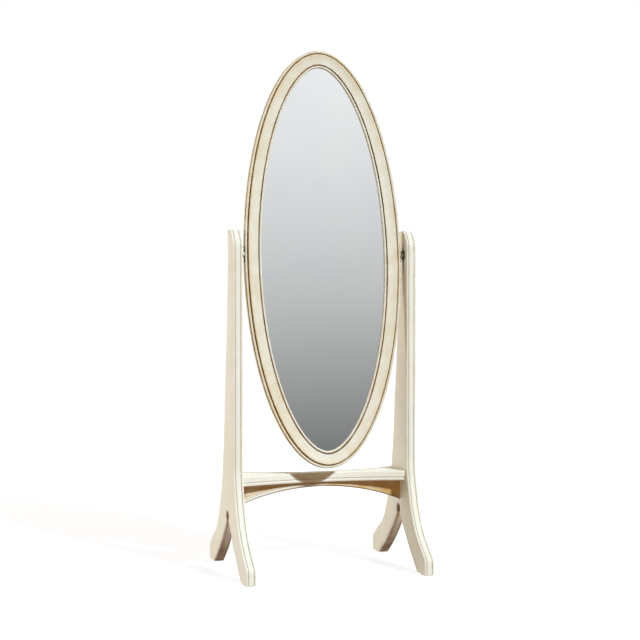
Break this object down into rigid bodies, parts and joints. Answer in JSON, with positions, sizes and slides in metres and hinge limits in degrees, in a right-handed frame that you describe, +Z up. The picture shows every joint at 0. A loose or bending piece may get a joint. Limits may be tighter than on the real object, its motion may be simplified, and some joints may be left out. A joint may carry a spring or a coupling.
{
  "type": "cheval floor mirror",
  "caption": "Free-standing cheval mirror: an oval mirror in a moulded cream frame, tilting on pivots between two posts with splayed feet, tied by a waisted shelf and arched apron.",
  "frame": {"origin": "on the floor, under the middle of the object's bounding box", "axes": "+Z up; the mirror looks towards -Y; +X is the viewer's right when facing the glass"},
  "size_m": [0.6, 0.498, 1.6429],
  "materials": {
    "post_paint": "satin cream paint, rubbed gold in the grooves",
    "rail_paint": "satin cream paint, rubbed gold in the groove",
    "frame_paint": "satin cream paint, gold glaze in the quirks and on the edge",
    "mirror_glass": "polished",
    "felt": "matt",
    "cushion": "matt",
    "hardboard": "smooth hardboard",
    "beech": "raw",
    "zinc_casting": "die-cast",
    "pivot_steel": "zinc plated",
    "socket_steel": "dull plated",
    "button_steel": "zinc plated",
    "screw_steel": "zinc plated",
    "glide_nylon": "matt",
    "spacer_nylon": "matt"
  },
  "bodies": {
    "stand": {"left_post": "post_paint", "right_post": "post_paint", "stretcher_shelf": "rail_paint", "arched_apron": "rail_paint", "front_left_glide": "glide_nylon", "rear_left_glide": "glide_nylon", "front_right_glide": "glide_nylon", "rear_right_glide": "glide_nylon", "left_shelf_dowels": "beech", "right_shelf_dowels": "beech", "left_apron_dowels": "beech", "right_apron_dowels": "beech", "left_cam_bolts": "screw_steel", "right_cam_bolts": "screw_steel", "left_cam_nuts": "zinc_casting", "right_cam_nuts": "zinc_casting", "apron_screws": "screw_steel", "left_pivot_socket": "socket_steel", "right_pivot_socket": "socket_steel", "left_socket_screws": "screw_steel", "right_socket_screws": "screw_steel"},
    "mirror": {"oval_frame": "frame_paint", "glass_felt_ring": "felt", "mirror_glass": "mirror_glass", "cushion_sheet": "cushion", "backing_board": "hardboard", "turn_buttons": "button_steel", "turn_button_screws": "screw_steel", "left_pivot_plate": "pivot_steel", "right_pivot_plate": "pivot_steel", "left_pivot_pin": "pivot_steel", "right_pivot_pin": "pivot_steel", "left_pivot_spacer": "spacer_nylon", "right_pivot_spacer": "spacer_nylon", "left_plate_screws": "screw_steel", "right_plate_screws": "screw_steel"}
  },
  "joints": [
    {"name": "mirror_tilt", "type": "hinge", "parent": "stand", "child": "mirror", "pos_m": [0, -0.051, 0.9965], "axis": [1, 0, 0], "range_deg": [-30, 40]}
  ]
}
